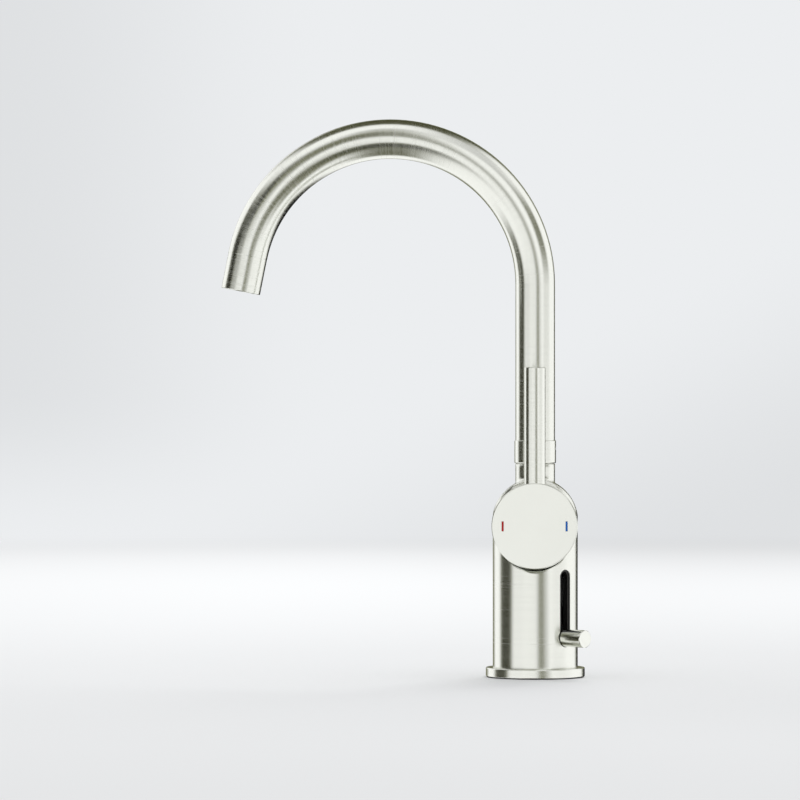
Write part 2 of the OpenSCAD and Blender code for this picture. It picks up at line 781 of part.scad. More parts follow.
module handle_cap() {
    hollow_front = cap_front - cap_face_wall;
    socket = stem_w + 2 * snug;
    color(nickel) on_handle_axis() difference() {
        union() {
            difference() {
                bevelled_disc(cap_r, cap_back, cap_front, cap_edge, cap_edge);
                translate([0, 0, cap_back - past])
                    cylinder(r = cap_hollow_r, h = cap_t - cap_face_wall + past);
            }
            translate([0, 0, boss_reach]) cylinder(r = boss_r, h = hollow_front - boss_reach + past);
        }
        translate([-socket / 2, -socket / 2, boss_reach - past])
            cube([socket, socket, hollow_front - boss_reach + past - 0.5]);
        translate([0, rod_seat, rod_reach]) rotate([-90, 0, 0]) cylinder(r = rod_r + snug, h = cap_rim_wall);
        translate([0, 0, rod_reach]) rotate([-90, 0, 0]) cylinder(r = lever_thread_r, h = cap_r);
        for (side = [-1, 1]) {
            translate([side * mark_offset - mark_w / 2, -mark_h / 2, cap_front - mark_t])
                cube([mark_w, mark_h, mark_t + past]);
        }
    }
}

module lever_rod() {
    low = handle_z + rod_seat;
    color(nickel) translate([0, -rod_reach, 0]) difference() {
        bevelled_disc(rod_r, low, rod_top_z, rod_edge);
        translate([0, 0, low - past]) cylinder(r = lever_thread_r, h = lever_thread_depth + past);
    }
}

// Threaded stud: holds the rod and clamps the handle to the cartridge's stem
module lever_stud() {
    color(steel) translate([0, -rod_reach, handle_z + 1.7])
        cylinder(r = lever_thread_r - snug, h = rod_seat + lever_thread_depth - 2.7);
}

module temperature_mark(side) {
    on_handle_axis() translate([side * mark_offset - mark_w / 2, -mark_h / 2, cap_front - mark_t])
        cube([mark_w, mark_h, mark_t]);
}

module hot_mark() {
    color([0.80, 0.08, 0.08]) temperature_mark(-1);
}

module cold_mark() {
    color([0.05, 0.30, 0.80]) temperature_mark(1);
}

// Spout

module pipe_section(thinner = 0) {
    difference() {
        circle(r = pipe_r - thinner);
        circle(r = pipe_bore_r + thinner);
    }
}

// The tail's wall is a little thinner and runs into the bend's wall, so that both are one piece
module spout_pipe() {
    overlap = 0.5;
    step = 0.05;
    color(nickel) {
        translate([0, 0, pipe_z]) linear_extrude(bend_z - pipe_z) pipe_section();
        translate([-bend_r, 0, bend_z]) rotate([90, 0, 0]) rotate_extrude(angle = bend_sweep)
            translate([bend_r, 0]) pipe_section();
        at_outlet() linear_extrude(tail_len + overlap) pipe_section(step);
    }
}

module spout_collar() {
    color(nickel) difference() {
        bevelled_disc(pipe_r + collar_step, collar_z, collar_z + collar_h, collar_edge, collar_edge);
        translate([0, 0, pipe_z]) cylinder(r = pipe_r + snug, h = collar_h);
        translate([0, 0, collar_z - past]) cylinder(r = spigot_r + free, h = collar_h);
    }
}

module spout_spigot() {
    groove_half = swivel_half + asin((stop_screw_r + free) / stop_groove_r);
    color(brass) difference() {
        union() {
            translate([0, 0, spigot_z]) cylinder(r = spigot_r, h = pipe_z - spigot_z + past);
            translate([0, 0, pipe_z]) cylinder(r = pipe_bore_r - snug, h = spigot_socket_len);
        }
        translate([0, 0, spigot_z - past]) cylinder(r = spigot_bore_r, h = pipe_z + spigot_socket_len);
        for (z = guide_z) {
            tube(spigot_r + past, guide_groove_r, z - 0.05, z + guide_h + 0.05);
        }
        for (z = seal_z) {
            tube(spigot_r + past, seal_groove_r, z - seal_ring_r - 0.05, z + seal_ring_r + 0.05);
        }
        translate([0, 0, stop_z - stop_screw_r - 0.2]) rotate([0, 0, 90 - groove_half])
            rotate_extrude(angle = 2 * groove_half) translate([stop_groove_r, 0])
            square([spigot_r - stop_groove_r + past, 2 * stop_screw_r + 0.4]);
    }
}

module spout_seals() {
    color(rubber) {
        for (z = seal_z) {
            o_ring(neck_bore_r - running - seal_ring_r, seal_ring_r, z);
        }
    }
}

module spout_guide_rings() {
    color(white_plastic) {
        for (z = guide_z) {
            tube(neck_bore_r - running, guide_groove_r + snug, z, z + guide_h);
        }
    }
}

// Aerator

module aerator_housing() {
    color(nickel) at_outlet() difference() {
        bevelled_disc(aerator_r, aerator_inset, aerator_inset + aerator_len, 0.2, 0.2);
        translate([0, 0, insert_low]) cylinder(r = aerator_r - aerator_wall, h = aerator_len);
        cylinder(r = insert_r - 0.7, h = aerator_len);
    }
}

// Rings of holes that break the water into a soft stream
module aerator_insert() {
    hole_r = insert_r * 0.085;
    color(grey_plastic) at_outlet() difference() {
        translate([0, 0, insert_low + snug]) cylinder(r = insert_r, h = insert_len);
        translate([0, 0, insert_low + 2.2]) cylinder(r = insert_r - 1.2, h = insert_len);
        for (ring = [1 : 3]) {
            for (i = [0 : 6 * ring - 1]) {
                rotate([0, 0, 60 * i / ring]) translate([ring * insert_r * 0.24, 0, 0])
                    cylinder(r = hole_r, h = insert_len);
            }
        }
        cylinder(r = hole_r, h = insert_len);
    }
}

module aerator_seal() {
    low = aerator_inset + aerator_len;
    color(rubber) at_outlet() tube(aerator_r, insert_r - 2, low, low + 1.6);
}

body();
base_ring();
base_seal();
spout_washer();
spout_stop_screw();
slot_liner();
valve_insert();
valve_insert_seals();
valve_fixed_disc();
valve_bonnet();
cartridge_base();
cartridge_port_seals();
cartridge_case();
cartridge_fixed_disc();
cartridge_nut();
limit_ring();
nut_cover();
spout_pipe();
spout_collar();
spout_spigot();
spout_seals();
spout_guide_rings();
aerator_housing();
aerator_insert();
aerator_seal();
cartridge_turret();
stem_pin();
cartridge_stem();
handle_cap();
lever_rod();
lever_stud();
hot_mark();
cold_mark();
disc_carrier();
cartridge_moving_disc();
shutoff_knob();
shutoff_pin();
shutoff_shoe();
shutoff_cam();
valve_spindle();
valve_moving_disc();
spindle_clip();
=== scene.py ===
"""Studio, camera and finishes of a tall single-lever mixer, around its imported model. Metres."""
import json
import math

import bmesh
import bpy
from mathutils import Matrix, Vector


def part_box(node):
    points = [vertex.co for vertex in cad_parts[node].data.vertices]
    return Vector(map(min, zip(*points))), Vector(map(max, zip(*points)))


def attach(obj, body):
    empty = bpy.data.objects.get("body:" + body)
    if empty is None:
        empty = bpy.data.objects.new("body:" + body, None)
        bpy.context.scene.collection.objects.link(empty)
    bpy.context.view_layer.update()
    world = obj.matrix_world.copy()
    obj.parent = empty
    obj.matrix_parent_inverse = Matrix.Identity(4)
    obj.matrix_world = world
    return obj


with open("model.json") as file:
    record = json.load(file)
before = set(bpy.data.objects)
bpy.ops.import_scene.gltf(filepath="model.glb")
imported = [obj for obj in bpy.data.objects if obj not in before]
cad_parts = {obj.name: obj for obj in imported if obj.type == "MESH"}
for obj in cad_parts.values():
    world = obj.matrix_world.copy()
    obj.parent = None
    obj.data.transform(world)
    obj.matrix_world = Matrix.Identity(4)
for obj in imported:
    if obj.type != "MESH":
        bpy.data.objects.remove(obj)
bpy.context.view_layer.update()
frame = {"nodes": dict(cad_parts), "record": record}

MM = 0.001
UP = Vector((0, 0, 1))

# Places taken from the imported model
PIPE_LOW, PIPE_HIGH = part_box("spout_pipe")
CAP_LOW, CAP_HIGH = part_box("handle_cap")
COLLAR_LOW, COLLAR_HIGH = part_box("spout_collar")
CAP_AXIS_Z = (CAP_LOW.z + CAP_HIGH.z) / 2
PIPE_RADIUS = (PIPE_HIGH.y - PIPE_LOW.y) / 2

# The spout's centre line: a riser, a bend about a level axis and a straight tail
BEND_RADIUS = 88.3 * MM
BEND_HEIGHT = PIPE_HIGH.z - BEND_RADIUS - PIPE_RADIUS
BEND_SWEEP = math.radians(168.7)

# The slot in the round body: its direction, turned from the front towards the right, and its ends
BODY_RADIUS = 25.75 * MM
SLOT_TURN = math.radians(45.7)
SLOT_OUT = Vector((math.sin(SLOT_TURN), -math.cos(SLOT_TURN), 0))
SLOT_LOW = 19.0 * MM
SLOT_HIGH = 65.6 * MM
SLOT_HALF_WIDTH = 4.3 * MM

# The bead on the liner's wall: how far it lies from the slot's middle and behind the body's surface
BEAD_RADIUS = 0.2 * MM
BEAD_ASIDE = 3.42 * MM
BEAD_DEPTH = 1.5 * MM
BEAD_SIDES = 10
BEAD_END_STEPS = 12

# The collar's set screw. Its height is a share of the collar's, and its socket is measured across flats
SCREW_HEIGHT = 0.62
SCREW_PROUD = 0.06 * MM
SCREW_LENGTH = 1.6 * MM
SCREW_RADIUS = 1.9 * MM
SCREW_FACE_RADIUS = 1.65 * MM
SCREW_EDGE = 0.25 * MM
SCREW_SIDES = 36
SOCKET_HALF_WIDTH = 0.95 * MM
SOCKET_DEPTH = 1.2 * MM
SIXTH_TURN = math.pi / 3

# The threads' ridges. The foot is sunk into the wall, and its half width is a share of the pitch
HOSE_PITCH = 1.0 * MM
STUD_PITCH = 1.25 * MM
RIDGE_DEPTH = 0.45 * MM
FOOT_SUNK = 0.02 * MM
FOOT_HALF_WIDTH = 0.42
STEPS_PER_TURN = 28
FADE_STEPS = STEPS_PER_TURN / 3
LEAST_FADE = 0.05

# The camera, from the picture's perspective: picture sizes are in pixels
PICTURE = 800
FOCAL_PIXELS = 4200
AXIS_PIXEL_X = 535.2
HORIZON_PIXEL_Y = 423
CAMERA_PLACE = Vector((24.5 * MM, -2550 * MM, 154 * MM))
SENSOR = 36
NEAREST_SEEN = 0.05
FURTHEST_SEEN = 100

# Finishes, as linear colours
NICKEL = (0.775, 0.785, 0.735)
# The body's nickel made a little darker for the handle: painted shade on the handle's face and rim
SHADED_HANDLE_NICKEL = (0.735, 0.745, 0.697)
STEEL = (0.62, 0.63, 0.64)
BRASS = (0.78, 0.58, 0.28)
RUBBER = (0.022, 0.022, 0.023)
BLACK = (0.006, 0.006, 0.005)
# The liner's black made lighter for its bead: a painted glint on the liner's inner edge
GLINT_BEAD_GREY = (0.11, 0.11, 0.10)
WHITE = (0.78, 0.78, 0.74)
GREY = (0.17, 0.175, 0.185)
CERAMIC = (0.86, 0.85, 0.81)
RED = (0.43, 0.0, 0.0)
BLUE = (0.0, 0.11, 0.46)

# Brushed lines, as lines in a metre and how fast they change along their length, and smudges
FINE_LINES = 1500
COARSE_LINES = 640
LINE_CHANGE = 2.5
FINE_SHARE = 0.6
LINE_STRENGTH = 0.5
SMUDGE_SCALE = 34
SMUDGE_TONE = (0.992, 1.004)

# Grain of moulded pieces with a wide cloud of tone, and ripple of the enamel
GRAIN_TONE = (0.93, 1.06)
GRAIN_ROUGHNESS = 0.06
GRAIN_STRENGTH = 0.4
CLOUD_SCALE = 60
CLOUD_TONE = (0.95, 1.04)
RIPPLE_SCALE = 1400
RIPPLE_TONE = (0.9, 1.08)
RIPPLE_STRENGTH = 0.2
RIPPLE_DEPTH = 0.02 * MM
ENAMEL_ROUGHNESS = 0.25
ENAMEL_SPECULAR = 0.3

# The usual range of a noise, and the parts of it that change the roughness of brushed metal
NOISE_RANGE = (0.3, 0.7)
LINE_ROUGHNESS_RANGE = (0.32, 0.68)
SMUDGE_ROUGHNESS = (0.35, 0.7, 0.0, 0.01)

# Radii of the broken edges: on all brushed pieces, along the crown and at the recess under the disc
EDGE = 0.35 * MM
CROWN_EDGE = 3.5 * MM
CROWN_RISE = 14 * MM
RECESS_EDGE = 0.8 * MM
RECESS_NEAR = 3 * MM
RECESS_FAR = 7 * MM
EDGE_SAMPLES = 8

# Light: the level of the panels that metal sees, the even level that lights the rest, and one lamp
PANEL_LEVEL = 1.18
EVEN_LEVEL = (0.80, 0.80, 0.80)
LAMP_PLACE = Vector((0.4, 1.5, 2.0))
LAMP_AIM = Vector((0, 0, 0.1))
LAMP_SIZE = 1.4
LAMP_POWER = 19

# Gaps between the panels: how soft their edges are in degrees, and the tint that fades out at a level
GAP_SOFTNESS = 9
GAP_TINT = (1.0, 1.02, 0.52)
GAP_TINT_LEVEL = 0.55

# Painted shade on the wall, by direction: where a change starts and ends, then how much darker it is at
# both ends
WALL = (0.839, 0.855, 0.871)
PAINTED_WALL_SHADE_LEFT = (-0.14, -0.055, 0.12, 0.0)
WALL_HIGH = (-0.03, 0.01)
PAINTED_WALL_SHADE_LOW = (-0.045, 0.025, 0.12, 0.0)
WALL_SLANT = 0.45

# Painted light and shade in the floor's tone, by place: where a change starts and ends, then what it adds
# to the tone at both ends
FLOOR = (0.885, 0.895, 0.905)
FLOOR_TONE = 0.95
PAINTED_LIGHT_ROUND_THE_BASE = (0.08, 0.35, 0.04, 0.02)
PAINTED_LIGHT_BEHIND_THE_BASE = (0.0, 0.8, 0.0, 0.01)
PAINTED_LIGHT_FAR_LEFT_TO_RIGHT = (-0.5, 0.3, 0.05, -0.01)
FAR_BEHIND = (0.8, 2.4)
PAINTED_SHADE_NEAR_LEFT_TO_RIGHT = (-0.3, 0.15, 0.0, -0.06)
NEAR_IN_FRONT = (-0.6, -0.1)

# The floor's disc, and how it fades out: distances where that starts and ends, and what is left there
FLOOR_RADIUS = 3.4
FLOOR_FADE = (2.3, 3.3, 1.0, 0.0)
FLOOR_SIDES = 96


class Graph:
    """Adds nodes to one node tree. Inputs are values or the sockets of other nodes."""

    def __init__(self, tree):
        self.tree = tree
        tree.nodes.clear()

    def node(self, kind, inputs=None, output=0, **settings):
        """Adds a node and gives one of its outputs, by number or name."""
        made = self.tree.nodes.new(kind)
        for key, value in settings.items():
            setattr(made, key, value)
        for key, value in (inputs or {}).items():
            if isinstance(value, bpy.types.NodeSocket):
                self.tree.links.new(value, made.inputs[key])
            else:
                made.inputs[key].default_value = value
        return made.outputs[output]

    def math(self, operation, first, second=0.0):
        return self.node("ShaderNodeMath", {0: first, 1: second}, operation=operation)

    def add(self, first, second):
        return self.math("ADD", first, second)

    def subtract(self, first, second):
        return self.math("SUBTRACT", first, second)

    def multiply(self, first, second):
        return self.math("MULTIPLY", first, second)

    def size(self, value):
        """The value without its sign."""
        return self.math("ABSOLUTE", value)

    def length(self, first, second):
        """Length of the line whose two sides are given."""
        squares = self.add(self.multiply(first, first), self.multiply(second, second))
        return self.math("SQRT", squares)

    def half_turn(self, angle):
        """The angle brought within half a turn either way."""
        wrap = {0: angle, 1: math.pi, 2: -math.pi}
        return self.node("ShaderNodeMath", wrap, operation="WRAP")

    def combine(self, x, y, z):
        return self.node("ShaderNodeCombineXYZ", {0: x, 1: y, 2: z})

    def separate(self, vector):
        return self.node("ShaderNodeSeparateXYZ", {0: vector}).node.outputs

    def ramp(self, value, low, high, to_low=0.0, to_high=1.0):
        """Smooth step from to_low at low to to_high at high."""
        ends = {"From Min": low, "From Max": high, "To Min": to_low, "To Max": to_high}
        return self.node("ShaderNodeMapRange", {"Value": value, **ends}, interpolation_type="SMOOTHSTEP")

    def noise(self, vector, scale=1.0, detail=2.0, roughness=0.5):
        inputs = {"Vector": vector, "Scale": scale, "Detail": detail, "Roughness": roughness}
        return self.node("ShaderNodeTexNoise", inputs)

    def vary(self, noise, low, high):
        """From low to high over a noise's usual range."""
        return self.ramp(noise, *NOISE_RANGE, low, high)

    def shade(self, colour, factor):
        """The colour made lighter or darker by a factor."""
        return self.node("ShaderNodeVectorMath", {0: colour, "Scale": factor}, operation="SCALE")

    def mix(self, factor, first, second):
        """The first colour at 0 and the second at 1. A mix node keeps its colours in sockets 6, 7 and 2."""
        colours = {6: first, 7: second}
        return self.node("ShaderNodeMix", {"Factor": factor, **colours}, output=2, data_type="RGBA")

    def place(self):
        """Position on the piece at rest."""
        return self.node("ShaderNodeTexCoord", output="Object")

    def bump(self, strength, depth, height, **normal):
        inputs = {"Strength": strength, "Distance": depth, "Height": height, **normal}
        return self.node("ShaderNodeBump", inputs)

    def principled(self, colour, roughness, normal, **more):
        inputs = {"Base Color": colour, "Roughness": roughness, "Normal": normal, **more}
        return self.node("ShaderNodeBsdfPrincipled", inputs)

    def finish(self, surface, kind="ShaderNodeOutputMaterial"):
        """Makes a surface or background the tree's result."""
        out = self.tree.nodes.new(kind)
        self.tree.links.new(surface, out.inputs["Surface"])


def new_material(name):
    material = bpy.data.materials.new(name)
    material.use_nodes = True
    return material, Graph(material.node_tree)


# Brushing: where the brushed lines lie, and the direction that they spread a reflection in

def upright_lines(graph):
    """Lines round an upright piece: they change with height and spread light along it."""
    x, y, z = graph.separate(graph.place())
    return x, y, z, graph.combine(0.0, 0.0, 1.0)


def spout_lines(graph):
    """Lines round the spout's tube, along its bent centre line."""
    x, y, z = graph.separate(graph.place())
    across = graph.add(x, BEND_RADIUS)
    up = graph.subtract(z, BEND_HEIGHT)
    middle = BEND_SWEEP / 2
    cosine = math.cos(middle)
    sine = math.sin(middle)
    turned_x = graph.add(graph.multiply(across, cosine), graph.multiply(up, sine))
    turned_z = graph.subtract(graph.multiply(up, cosine), graph.multiply(across, sine))
    angle = graph.math("ARCTAN2", turned_z, turned_x)
    angle = graph.math("MAXIMUM", graph.math("MINIMUM", angle, middle), -middle)
    angle = graph.add(angle, middle)
    ahead_x = graph.multiply(graph.math("SINE", angle), -1.0)
    ahead_z = graph.math("COSINE", angle)
    # Distance along the centre line: the arc, and how far the point lies past either end of it
    past_x = graph.subtract(across, graph.multiply(ahead_z, BEND_RADIUS))
    past_z = graph.add(up, graph.multiply(ahead_x, BEND_RADIUS))
    past = graph.add(graph.multiply(past_x, ahead_x), graph.multiply(past_z, ahead_z))
    along = graph.add(graph.multiply(angle, BEND_RADIUS), past)
    return x, y, along, graph.combine(ahead_x, 0.0, ahead_z)


def handle_lines(graph):
    """Rings about the handle's axis, on its rim and on its face."""
    x, y, z = graph.separate(graph.place())
    up = graph.subtract(z, CAP_AXIS_Z)
    along = graph.add(graph.length(x, up), y)
    return x, up, along, graph.combine(0.0, 1.0, 0.0)


def knob_lines(graph):
    """Lines round the knob, whose axis points out through the slot."""
    x, y, z = graph.separate(graph.place())
    out = graph.add(graph.multiply(x, SLOT_OUT.x), graph.multiply(y, SLOT_OUT.y))
    return z, z, out, graph.combine(SLOT_OUT.x, SLOT_OUT.y, 0.0)


# Broken edges, rounded by the shader alone

def plain_edge(graph):
    """The same small radius on all edges."""
    return EDGE


def housing_edge(graph):
    """A wide radius along the housing's crown, and a smaller one where the recess meets the body."""
    height = graph.separate(graph.place())[2]
    crown = graph.ramp(height, CAP_AXIS_Z, CAP_AXIS_Z + CROWN_RISE, EDGE, CROWN_EDGE)
    from_recess = graph.size(graph.subtract(height, CAP_LOW.z))
    return graph.add(crown, graph.ramp(from_recess, RECESS_NEAR, RECESS_FAR, RECESS_EDGE, 0.0))


def brushed(name, colour, lines, roughness=0.24, anisotropy=0.60, line_depth=0.0035 * MM,
        contrast=0.005, spread=0.036, edge=plain_edge):
    """Brushed metal: fine and coarse lines in height, colour and roughness, smudges and broken edges."""
    material, graph = new_material(name)
    x, y, along, ahead = lines(graph)
    slow_x = graph.multiply(x, LINE_CHANGE)
    slow_y = graph.multiply(y, LINE_CHANGE)
    fine = graph.noise(graph.combine(slow_x, slow_y, graph.multiply(along, FINE_LINES)), roughness=0.6)
    coarse = graph.noise(graph.combine(slow_x, slow_y, graph.multiply(along, COARSE_LINES)), detail=1.0)
    level = graph.add(graph.multiply(fine, FINE_SHARE), graph.multiply(coarse, 1 - FINE_SHARE))
    smudge = graph.noise(graph.place(), scale=SMUDGE_SCALE)
    line_tone = graph.vary(level, 1 - contrast, 1 + contrast / 2)
    tone = graph.multiply(line_tone, graph.vary(smudge, *SMUDGE_TONE))
    line_roughness = graph.ramp(level, *LINE_ROUGHNESS_RANGE, roughness - spread, roughness + spread)
    rough = graph.add(line_roughness, graph.ramp(smudge, *SMUDGE_ROUGHNESS))
    broken = graph.node("ShaderNodeBevel", {"Radius": edge(graph)}, samples=EDGE_SAMPLES)
    bump = graph.bump(LINE_STRENGTH, line_depth, level, Normal=broken)
    world_ahead = graph.node("ShaderNodeVectorTransform", {0: ahead}, vector_type="VECTOR",
        convert_from="OBJECT", convert_to="WORLD")
    graph.finish(graph.principled(graph.shade(colour, tone), rough, bump, Metallic=1.0,
        Anisotropic=anisotropy, Tangent=world_ahead))
    return material


def turned(name, colour, roughness):
    """Machined metal with faint tool marks about the piece's upright axis."""
    return brushed(name, colour, upright_lines, roughness, anisotropy=0.4, contrast=0.16)


def moulded(name, colour, roughness, grain=2600, grain_depth=0.02 * MM):
    """Moulded plastic, rubber or ceramic: a fine grain with a soft change of tone."""
    material, graph = new_material(name)
    speckle = graph.noise(graph.place(), scale=grain, roughness=0.6)
    cloud = graph.noise(graph.place(), scale=CLOUD_SCALE)
    tone = graph.multiply(graph.vary(speckle, *GRAIN_TONE), graph.vary(cloud, *CLOUD_TONE))
    rough = graph.vary(speckle, roughness - GRAIN_ROUGHNESS, roughness + GRAIN_ROUGHNESS)
    bump = graph.bump(GRAIN_STRENGTH, grain_depth, speckle)
    graph.finish(graph.principled(graph.shade(colour, tone), rough, bump))
    return material


def enamel(name, colour):
    """Enamel that fills a temperature mark: smooth, with a fine ripple in height and tone."""
    material, graph = new_material(name)
    ripple = graph.noise(graph.place(), scale=RIPPLE_SCALE)
    bump = graph.bump(RIPPLE_STRENGTH, RIPPLE_DEPTH, ripple)
    shaded = graph.shade(colour, graph.vary(ripple, *RIPPLE_TONE))
    gloss = {"Specular IOR Level": ENAMEL_SPECULAR}
    graph.finish(graph.principled(shaded, ENAMEL_ROUGHNESS, bump, **gloss))
    return material


MATERIALS = {
    "nickel_body": brushed("nickel_body", NICKEL, upright_lines, edge=housing_edge),
    "nickel_trim": brushed("nickel_trim", NICKEL, upright_lines),
    "nickel_spout": brushed("nickel_spout", NICKEL, spout_lines),
    "nickel_handle": brushed("nickel_handle", SHADED_HANDLE_NICKEL, handle_lines, roughness=0.17,
        anisotropy=0.3, line_depth=0.0003 * MM, contrast=0.003, spread=0.01),
    "nickel_rod": brushed("nickel_rod", NICKEL, upright_lines),
    "nickel_knob": brushed("nickel_knob", NICKEL, knob_lines, roughness=0.17, line_depth=0.001 * MM),
    "steel": turned("steel", STEEL, roughness=0.28),
    "brass": turned("brass", BRASS, roughness=0.32),
    "rubber": moulded("rubber", RUBBER, roughness=0.68, grain=1800, grain_depth=0.03 * MM),
    "black_plastic": moulded("black_plastic", BLACK, roughness=0.38, grain_depth=0.006 * MM),
    "glint_bead_plastic": moulded("glint_bead_plastic", GLINT_BEAD_GREY, roughness=0.30, grain_depth=0.004 * MM),
    "white_plastic": moulded("white_plastic", WHITE, roughness=0.42),
    "grey_plastic": moulded("grey_plastic", GREY, roughness=0.45),
    "ceramic": moulded("ceramic", CERAMIC, roughness=0.18, grain=4200, grain_depth=0.004 * MM),
    "red_mark": enamel("red_mark", RED),
    "blue_mark": enamel("blue_mark", BLUE),
}
OWN_FINISH = {"lever_rod": "nickel_rod", "shutoff_knob": "nickel_knob"}


def dress_nodes():
    """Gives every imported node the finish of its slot, or its own."""
    slots = {part["node"]: part["material_slot"] for part in frame["record"]["subparts"]}
    for name, node in frame["nodes"].items():
        finish = OWN_FINISH.get(name, slots[name])
        node.data.materials.clear()
        node.data.materials.append(MATERIALS[finish])


def make_camera():
    """A long lens nearly square to the handle's face, as in the picture."""
    data = bpy.data.cameras.new("camera")
    camera = bpy.data.objects.new("camera", data)
    bpy.context.collection.objects.link(camera)
    data.sensor_width = SENSOR
    data.lens = FOCAL_PIXELS * SENSOR / PICTURE
    data.clip_start = NEAREST_SEEN
    data.clip_end = FURTHEST_SEEN
    middle = PICTURE / 2
    to_axis = math.atan2(CAMERA_PLACE.x, -CAMERA_PLACE.y)
    turn = to_axis + math.atan((AXIS_PIXEL_X - middle) / FOCAL_PIXELS)
    lift = math.atan((HORIZON_PIXEL_Y - middle) / FOCAL_PIXELS)
    camera.location = CAMERA_PLACE
    camera.rotation_euler = (math.pi / 2 + lift, 0, turn)
    bpy.context.scene.camera = camera


# Darker gaps between the studio's light panels, as the metal shows them, in degrees.
# Upright gaps lie by azimuth (front 0, right 90) and elevation and may lean: azimuth shifts with elevation.
# Level gaps lie by side angle and pitch (front 0, overhead 90, behind 180, below -90).
UPRIGHT_GAPS = {
    "left of the front panel": dict(centre=(-87, -1), half=(18.5, 19), dark=0.97, lean=0.3),
    "over the left corner": dict(centre=(-63, 22), half=(29, 12), dark=0.97),
    "over the front panel": dict(centre=(-24, 26), half=(27, 12), dark=0.80),
    "between front and right": dict(centre=(16, -2), half=(6.5, 13), dark=0.70),
    "under the front panel": dict(centre=(24, -17), half=(10, 11), dark=0.85),
    "lower under the front panel": dict(centre=(16, -37), half=(38, 11), dark=0.85),
    "in the right panel": dict(centre=(71, 21), half=(18, 12), dark=0.88),
    "behind on the right": dict(centre=(150, -18), half=(19, 20), dark=1.0, lean=1.0),
    "behind on the left": dict(centre=(-156, -14), half=(10, 16), dark=0.80),
    "behind": dict(centre=(170, 12), half=(24, 29), dark=0.82),
}
LEVEL_GAPS = {
    "ceiling": dict(centre=(-4, 38), half=(7, 20), dark=0.66),
    "ceiling on the right": dict(centre=(27, 72), half=(13, 22), dark=0.36),
    "above and behind": dict(centre=(-3, 119), half=(28, 24), dark=0.93),
    "below": dict(centre=(-3, -70), half=(13, 42), dark=0.92),
}


def gap_mask(graph, across, up, centre, half, dark, lean=0):
    """1 away from a gap and less inside it, with soft edges."""
    above = graph.subtract(up, math.radians(centre[1]))
    middle = graph.add(graph.multiply(above, lean), math.radians(centre[0]))
    offset = graph.size(graph.half_turn(graph.subtract(across, middle)))
    rise = graph.size(graph.half_turn(above))
    soft = math.radians(GAP_SOFTNESS)
    wide = math.radians(half[0])
    high = math.radians(half[1])
    within_width = graph.ramp(offset, wide - soft / 2, wide + soft, 1, 0)
    within_height = graph.ramp(rise, high - soft / 2, high + soft, 1, 0)
    return graph.subtract(1.0, graph.multiply(graph.multiply(within_width, within_height), dark))


def panels_seen_by_metal(graph, direction):
    """Light panels all round, less the gaps between them, whose dark parts have a tint."""
    x, y, z = graph.separate(direction)
    ahead = graph.multiply(y, -1.0)
    azimuth = graph.math("ARCTAN2", x, ahead)
    elevation = graph.math("ARCSINE", z)
    pitch = graph.math("ARCTAN2", z, ahead)
    side = graph.math("ARCSINE", x)
    level = 1.0
    for gap in UPRIGHT_GAPS.values():
        level = graph.multiply(level, gap_mask(graph, azimuth, elevation, **gap))
    for gap in LEVEL_GAPS.values():
        level = graph.multiply(level, gap_mask(graph, side, pitch, **gap))
    tint = graph.mix(graph.ramp(level, 0.0, GAP_TINT_LEVEL), (*GAP_TINT, 1), (1, 1, 1, 1))
    return graph.shade(tint, graph.multiply(level, PANEL_LEVEL))


def wall_seen_by_camera(graph, direction):
    """A pale wall with painted shade: a little darker at the upper left and above the floor on the right.
    """
    x, y, z = graph.separate(direction)
    painted_shade_high_left = graph.multiply(graph.ramp(x, *PAINTED_WALL_SHADE_LEFT), graph.ramp(z, *WALL_HIGH))
    painted_shade_low_right = graph.ramp(graph.subtract(z, graph.multiply(x, WALL_SLANT)), *PAINTED_WALL_SHADE_LOW)
    return graph.shade(WALL, graph.subtract(1.0, graph.add(painted_shade_high_left, painted_shade_low_right)))


def make_world():
    """A pale wall for the camera, panels with gaps for metal, and an even level for the rest."""
    world = bpy.data.worlds.new("studio")
    bpy.context.scene.world = world
    world.use_nodes = True
    world.cycles.sampling_method = "NONE"
    graph = Graph(world.node_tree)
    direction = graph.node("ShaderNodeTexCoord", output="Generated")
    rays = graph.node("ShaderNodeLightPath").node.outputs
    panels = panels_seen_by_metal(graph, direction)
    lit = graph.mix(rays["Is Glossy Ray"], (*EVEN_LEVEL, 1), panels)
    colour = graph.mix(rays["Is Camera Ray"], lit, wall_seen_by_camera(graph, direction))
    background = graph.node("ShaderNodeBackground", {"Color": colour, "Strength": 1.0})
    graph.finish(background, "ShaderNodeOutputWorld")


def make_lamp():
    """A soft square lamp behind the mixer that points at it and doesn't show in the metal."""
    data = bpy.data.lights.new("back light", "AREA")
    data.size = LAMP_SIZE
    data.energy = LAMP_POWER
    lamp = bpy.data.objects.new("back light", data)
    bpy.context.collection.objects.link(lamp)
    lamp.location = LAMP_PLACE
    lamp.rotation_euler = (LAMP_AIM - LAMP_PLACE).to_track_quat("-Z", "Y").to_euler()
    lamp.visible_glossy = False
    lamp.visible_camera = False


